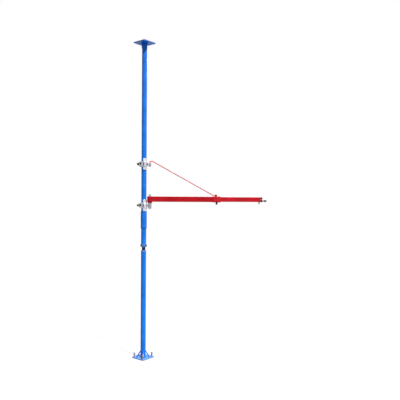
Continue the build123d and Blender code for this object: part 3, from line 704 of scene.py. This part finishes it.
# Clamp bolts: M12 bolts of black steel, heads towards the jib and nuts behind, with thread to spare.
# Washers under heads and nuts are zinc plated.
black_steel = oiled("black_steel", (0.020, 0.019, 0.021), (0.011, 0.0105, 0.0115), rough=0.4)
dress(zinc, "lower_clamp_washers", "upper_clamp_washers")
m12 = {"flats": 0.0186, "head": 0.0078, "nut": 0.0102, "bore": 0.0059, "radius": 0.006, "pitch": 0.00175}
bolt_side = 0.039
bolt_plain = 0.064


def hex_bolt(size, length, seat, way, across=(1, 0, 0), plain=0.0):
    """A bolt: its head stands on the seat, and its shank of that length runs from there the given way."""
    head = hex_part(size["flats"], size["head"], both=False)
    shank = rod_part(size["radius"], length, size["pitch"], plain)
    return [put(head, seat, -Vector(way), across), put(shank, seat, way, across)]


m12_nut = hex_part(m12["flats"], m12["nut"], m12["bore"])
for clamp in ("lower_clamp", "upper_clamp"):
    low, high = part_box(clamp + "_bolts")
    level = (low.z + high.z) / 2
    head_seat = high.x - m12["head"]
    nut_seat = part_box(clamp + "_nuts")[1].x
    bolts, nuts = [], []
    for y in (-bolt_side, bolt_side):
        seat = (head_seat, y, level)
        bolts += hex_bolt(m12, head_seat - low.x, seat, (-1, 0, 0), (0, 1, 0), bolt_plain)
        nuts.append(put(m12_nut, (nut_seat, y, level), (-1, 0, 0), (0, 1, 0)))
    black_bolts = make(clamp + "_black_bolts", bolts, black_steel, "jib")
    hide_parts(clamp + "_bolts")
    black_nuts = make(clamp + "_black_nuts", nuts, black_steel, "jib")
    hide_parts(clamp + "_nuts")

# Barrel bushes: plain bronze sleeves pressed into the two barrels, the lower one with a flange
# on which the arm turns.
bronze = plated("bronze", (0.62, 0.40, 0.19), (0.46, 0.28, 0.12), lump=0.01)
dress(bronze, "pivot_bush", "strut_bush")

# Arm outer tube: 50 mm square tube, its inner end closed in a half round about the pivot, with a welded
# pivot tube and thrust pad. Sprayed with gloss red enamel.
red = (0.51, 0.0055, 0.014)
red_primer = (0.30, 0.25, 0.25)
arm_stroke = (0.03, 1.0, 1.0)
arm_shine = 0.12
red_arm = enamel("red_arm", red, red_primer, None, arm_stroke, arm_shine)
dress(red_arm, "arm_outer_tube", "arm_pivot_tube", "arm_pivot_pad")
arm_low, arm_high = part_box("arm_outer_tube")
arm_z = (arm_low.z + arm_high.z) / 2
pad_weld_r = 0.0222
pad_drop = 0.0004
pad_bead = 0.0016
pad_path = ring(pad_weld_r, arm_low.z - pad_drop, pivot_x)
make("pad_weld", [bead(pad_path, pad_bead)], red_arm, "arm")


# Pivot pin: a zinc-plated shouldered shaft with a cut thread, nutted on the arm's top, with a washer and
# a split pin under the lower barrel.
def turned_part(outline, count=48):
    """A turned shape from (radius, height) points, which start and end on the axis."""
    points = [(0.0, 0.0, outline[0][1])]
    for radius, height in outline[1:-1]:
        for k in range(count):
            t = 2 * math.pi * k / count
            points.append((radius * math.cos(t), radius * math.sin(t), height))
    points.append((0.0, 0.0, outline[-1][1]))
    last_row = 1 + (len(outline) - 3) * count
    faces = []
    for k in range(count):
        n = (k + 1) % count
        faces.append((0, 1 + n, 1 + k))
        for a in range(1, last_row, count):
            faces.append((a + k, a + n, a + count + n, a + count + k))
        faces.append((last_row + k, last_row + n, len(points) - 1))
    return points, faces


dress(zinc, "pivot_top_washer", "pivot_bottom_washer")
shaft_low, shaft_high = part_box("pivot_pin")
shaft_r = (shaft_high.y - shaft_low.y) / 2
shaft_tall = arm_high.z - shaft_low.z
foot_chamfer = 0.0012
head_chamfer = 0.0006
shaft_outline = [
    (0.0, 0.0),
    (shaft_r - foot_chamfer, 0.0),
    (shaft_r, foot_chamfer),
    (shaft_r, shaft_tall - head_chamfer),
    (shaft_r - head_chamfer, shaft_tall),
    (0.0, shaft_tall),
]
pin_thread_r = 0.008
pin_pitch = 0.002
pin_thread = rod_part(pin_thread_r, shaft_high.z - arm_high.z + pin_pitch, pin_pitch)
pivot_shaft = make(
    "pivot_shaft",
    [
        put(turned_part(shaft_outline), (pivot_x, 0, shaft_low.z)),
        put(pin_thread, (pivot_x, 0, arm_high.z - pin_pitch)),
    ],
    zinc,
    "arm",
)
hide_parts("pivot_pin")
nut_low, nut_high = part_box("pivot_nut")
pin_nut = hex_part(flats=0.0248, height=nut_high.z - nut_low.z, bore=0.0079)
pivot_nut = make("pivot_hex_nut", [put(pin_nut, (pivot_x, 0, nut_low.z))], zinc, "arm")
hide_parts("pivot_nut")


def split_pin_part(radius, length, spread, sides=8):
    """A split pin along y: a round eye at one end, two legs through the hole, bent apart at the other."""
    eye = radius * 1.5
    apart = radius * 0.48
    bend = math.radians(62)
    upright = Vector((0, 0, 1))
    turns = [math.pi * (0.08 + 1.84 * i / 18) for i in range(19)]
    lines = []
    for way in (-1, 1):
        leg = [Vector((way * apart, -length / 2, 0)), Vector((way * apart, length / 2 - spread, 0))]
        for i in range(1, 7):
            t = bend * i / 6
            out = apart + spread * (1 - math.cos(t))
            leg.append(Vector((way * out, length / 2 - spread + spread * math.sin(t), 0)))
        lines.append(leg)
    lines.append([Vector((eye * math.sin(t), -length / 2 - eye + 0.9 * eye * math.cos(t), 0)) for t in turns])
    points, faces = [], []
    for line in lines:
        first = len(points)
        for i, spot in enumerate(line):
            along = (line[min(i + 1, len(line) - 1)] - line[max(i - 1, 0)]).normalized()
            side = along.cross(upright)
            for k in range(sides):
                t = 2 * math.pi * k / sides
                points.append(spot + radius * (0.45 * math.cos(t) * side + 0.8 * math.sin(t) * upright))
        faces += [tuple(first + k for k in face) for face in wrap(len(line), sides)]
    return points, faces


pin_low, pin_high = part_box("pivot_split_pin")
pivot_pin_legs = split_pin_part(radius=0.0019, length=pin_high.y - pin_low.y, spread=0.006)
pivot_pin_spot = (pivot_x, 0, (pin_low.z + pin_high.z) / 2)
pivot_pin = make("pivot_cotter", [put(pivot_pin_legs, pivot_pin_spot)], zinc, "arm")
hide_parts("pivot_split_pin")

# Arm collar: a square sleeve welded round the outer tube's mouth to stiffen it, its red brighter than the
# arm's as a painted highlight, with a black weld nut below, whose lock bolt presses on the inner tube.
highlit_collar_red = (0.65, 0.017, 0.028)
red_collar = enamel("red_collar", highlit_collar_red, red_primer, None, arm_stroke, arm_shine)
dress(red_collar, "arm_collar")


def square(x, half, z, soft):
    """A rounded square path round the arm at one place along it."""
    path = []
    for quarter in range(4):
        middle = math.pi / 2 * (quarter + 0.5)
        y_side = math.copysign(half - soft, math.cos(middle))
        z_side = math.copysign(half - soft, math.sin(middle))
        for i in range(5):
            t = math.pi / 2 * (quarter + i / 4)
            path.append((x, y_side + soft * math.cos(t), z + z_side + soft * math.sin(t)))
    return path


collar_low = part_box("arm_collar")[0]
collar_gap = 0.0006
collar_bead = 0.0018
collar_path = square(collar_low.x - collar_gap, half=0.0258, z=arm_z, soft=0.004)
make("collar_weld", [bead(collar_path, collar_bead)], red_collar, "arm")
lock_low, lock_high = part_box("lock_weld_nut")
lock_x = (lock_low.x + lock_high.x) / 2
lock_bore = 0.0061
lock_nut_part = put(hex_part(m12["flats"], lock_high.z - lock_low.z, lock_bore), (lock_x, 0, lock_low.z))
lock_nut = make("lock_hex_nut", [lock_nut_part], black_steel, "arm")
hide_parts("lock_weld_nut")
slim_m12 = {**m12, "radius": 0.0058}
bolt_low, bolt_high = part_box("lock_bolt")
lock_seat = bolt_low.z + m12["head"]
lock_parts = hex_bolt(slim_m12, bolt_high.z - lock_seat, (lock_x, 0, lock_seat), (0, 0, 1))
lock_bolt = make("lock_hex_bolt", lock_parts, black_steel, "lock_bolt")
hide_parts("lock_bolt")

# Tie strut: an 8 mm bar in a lighter red than the arm, a painted highlight for the light on the thin round
# bar, bent over at the top into the upper barrel, and bolted by its eye between two lugs on the collar.
highlit_strut_red = (0.67, 0.012, 0.034)
red_strut = enamel("red_strut", highlit_strut_red, red_primer, None, (0.3, 1.0, 0.3), arm_shine)
dress(red_strut, "strut_rod")
dress(red_collar, "strut_lugs")
dress(zinc, "strut_washer")
lug_low, lug_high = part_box("strut_lugs")
lug_x = (lug_low.x + lug_high.x) / 2
lug_bead = 0.0016
lug_welds = []
for y in (lug_low.y, lug_high.y):
    lug_welds.append(bead([(lug_low.x, y, lug_low.z), (lug_high.x, y, lug_low.z)], lug_bead, closed=False))
make("lug_welds", lug_welds, red_collar, "arm")
m8 = {"flats": 0.0124, "head": 0.0052, "bore": 0.0039, "radius": 0.004, "pitch": 0.00125}
strut_plain = 0.018
eye_low, eye_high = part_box("strut_bolt")
eye_z = (eye_low.z + eye_high.z) / 2
eye_seat = eye_low.y + m8["head"]
eye_parts = hex_bolt(m8, eye_high.y - eye_seat, (lug_x, eye_seat, eye_z), (0, 1, 0), plain=strut_plain)
strut_bolt = make("strut_hex_bolt", eye_parts, black_steel, "arm")
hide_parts("strut_bolt")
nut_low, nut_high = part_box("strut_nut")
eye_nut = put(hex_part(m8["flats"], nut_high.y - nut_low.y, m8["bore"]), (lug_x, nut_low.y, eye_z), (0, 1, 0))
strut_nut = make("strut_hex_nut", [eye_nut], black_steel, "arm")
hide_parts("strut_nut")
pin_low, pin_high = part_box("strut_split_pin")
strut_pin_legs = split_pin_part(radius=0.00075, length=pin_high.y - pin_low.y, spread=0.003)
strut_pin_spot = (pivot_x, 0, (pin_low.z + pin_high.z) / 2)
strut_pin = make("strut_cotter", [put(strut_pin_legs, strut_pin_spot)], zinc, "arm")
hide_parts("strut_split_pin")

# Arm inner tube: a 45 mm square tube that slides in the outer one. Its red is brighter than the outer tube's,
# and sliding has scored it lengthways. A plate closes its end.
inner_red = (0.60, 0.011, 0.023)
red_inner = enamel("red_inner", inner_red, red_primer, None, (0.012, 1.0, 1.0), arm_shine)
dress(red_inner, "arm_inner_tube", "arm_end_plate")
end_low, end_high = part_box("arm_end_plate")
end_inset = 0.0004
end_bead = 0.0011
end_path = square(end_low.x, half=end_high.y - end_inset, z=arm_z, soft=0.003)
make("end_weld", [bead(end_path, end_bead)], red_inner, "arm_inner")

# End buffer: a round black rubber bump stop on the end plate, moulded with a waist and a dished face
# that hides its screw. The rubber is slightly bloomed.
rubber, tone, shader, place = coated("rubber")
bloom = grain(tone, place, size=0.006, detail=4.0).step(0.45, 0.75)
pore = grain(tone, place, size=0.0009)
feed(
    tone,
    shader,
    Base_Color=bloom.blend((0.011, 0.010, 0.011, 1), (0.030, 0.029, 0.031, 1)),
    Roughness=0.62 + bloom * 0.2,
    Normal=relief(tone, 0.35, 0.0004, pore),
    Specular_IOR_Level=0.3,
)
buffer_low, buffer_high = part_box("end_buffer")
buffer_r = (buffer_high.y - buffer_low.y) / 2
buffer_tall = buffer_high.x - buffer_low.x
waist_r = buffer_r * 0.955
dish_r = buffer_r * 0.40
dish_floor = buffer_tall - 0.0060
buffer_outline = [
    (0.0, 0.0),
    (buffer_r * 0.97, 0.0),
    (buffer_r, 0.0006),
    (buffer_r, 0.0045),
    (waist_r, 0.0062),
    (waist_r, 0.0095),
    (buffer_r, 0.0112),
    (buffer_r, buffer_tall - 0.0040),
    (buffer_r * 0.96, buffer_tall - 0.0017),
    (buffer_r * 0.86, buffer_tall - 0.0004),
    (buffer_r * 0.74, buffer_tall),
    (buffer_r * 0.52, buffer_tall - 0.0003),
    (buffer_r * 0.42, buffer_tall - 0.0016),
    (dish_r, dish_floor),
    (0.0, dish_floor),
]
buffer_spot = (buffer_low.x, 0, (buffer_low.z + buffer_high.z) / 2)
buffer_part = put(turned_part(buffer_outline), buffer_spot, (1, 0, 0), (0, 1, 0))
end_buffer = make("moulded_buffer", [buffer_part], rubber, "arm_inner")
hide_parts("end_buffer")

# Tip stud: a 12 mm screwed rod through the end plate, its zinc darkened as painted shade, with two nuts
# jammed together at its root and one near its free end that keeps a ring from slipping off.
shaded_dark_zinc = oiled("shaded_dark_zinc", (0.10, 0.105, 0.15), (0.05, 0.05, 0.075), rough=0.34)
stud_low, stud_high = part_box("tip_stud")
stud_z = (stud_low.z + stud_high.z) / 2
stud_plain = 0.003
stud_rod = rod_part(m12["radius"], stud_high.x - stud_low.x, m12["pitch"], stud_plain)
stud_part = put(stud_rod, (stud_low.x, 0, stud_z), (1, 0, 0), (0, 1, 0))
tip_stud = make("tip_stud_thread", [stud_part], shaded_dark_zinc, "arm_inner")
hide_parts("tip_stud")
nut_low, nut_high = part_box("tip_stud_nuts")
jam_gap = 0.0001
stud_nut_places = (nut_low.x, nut_low.x + m12["nut"] + jam_gap, nut_high.x - m12["nut"])
stud_nuts = [put(m12_nut, (x, 0, stud_z), (1, 0, 0), (0, 1, 0)) for x in stud_nut_places]
# The black of these nuts also stands in for the shadow the buffer casts on the root nuts: painted shade.
tip_stud_nuts = make("tip_stud_hex_nuts", stud_nuts, black_steel, "arm_inner")
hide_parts("tip_stud_nuts")

# Stop bolt: an M8 bolt with a nut, screwed up through the tube under the tip to keep a hoist on the arm.
# Its zinc is coloured a dull brown.
brown_zinc = plated("brown_zinc", (0.24, 0.16, 0.12), (0.15, 0.095, 0.075), rough=0.40, metal=0.5)
stop_low, stop_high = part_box("stop_bolt")
stop_x = (stop_low.x + stop_high.x) / 2
stop_seat = stop_low.z + m8["head"]
stop_parts = hex_bolt(m8, stop_high.z - stop_seat, (stop_x, 0, stop_seat), (0, 0, 1))
stop_bolt = make("stop_hex_bolt", stop_parts, brown_zinc, "arm_inner")
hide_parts("stop_bolt")
nut_low, nut_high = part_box("stop_nut")
stop_nut_part = put(hex_part(m8["flats"], nut_high.z - nut_low.z, m8["bore"]), (stop_x, 0, nut_low.z))
stop_nut = make("stop_hex_nut", [stop_nut_part], brown_zinc, "arm_inner")
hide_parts("stop_nut")
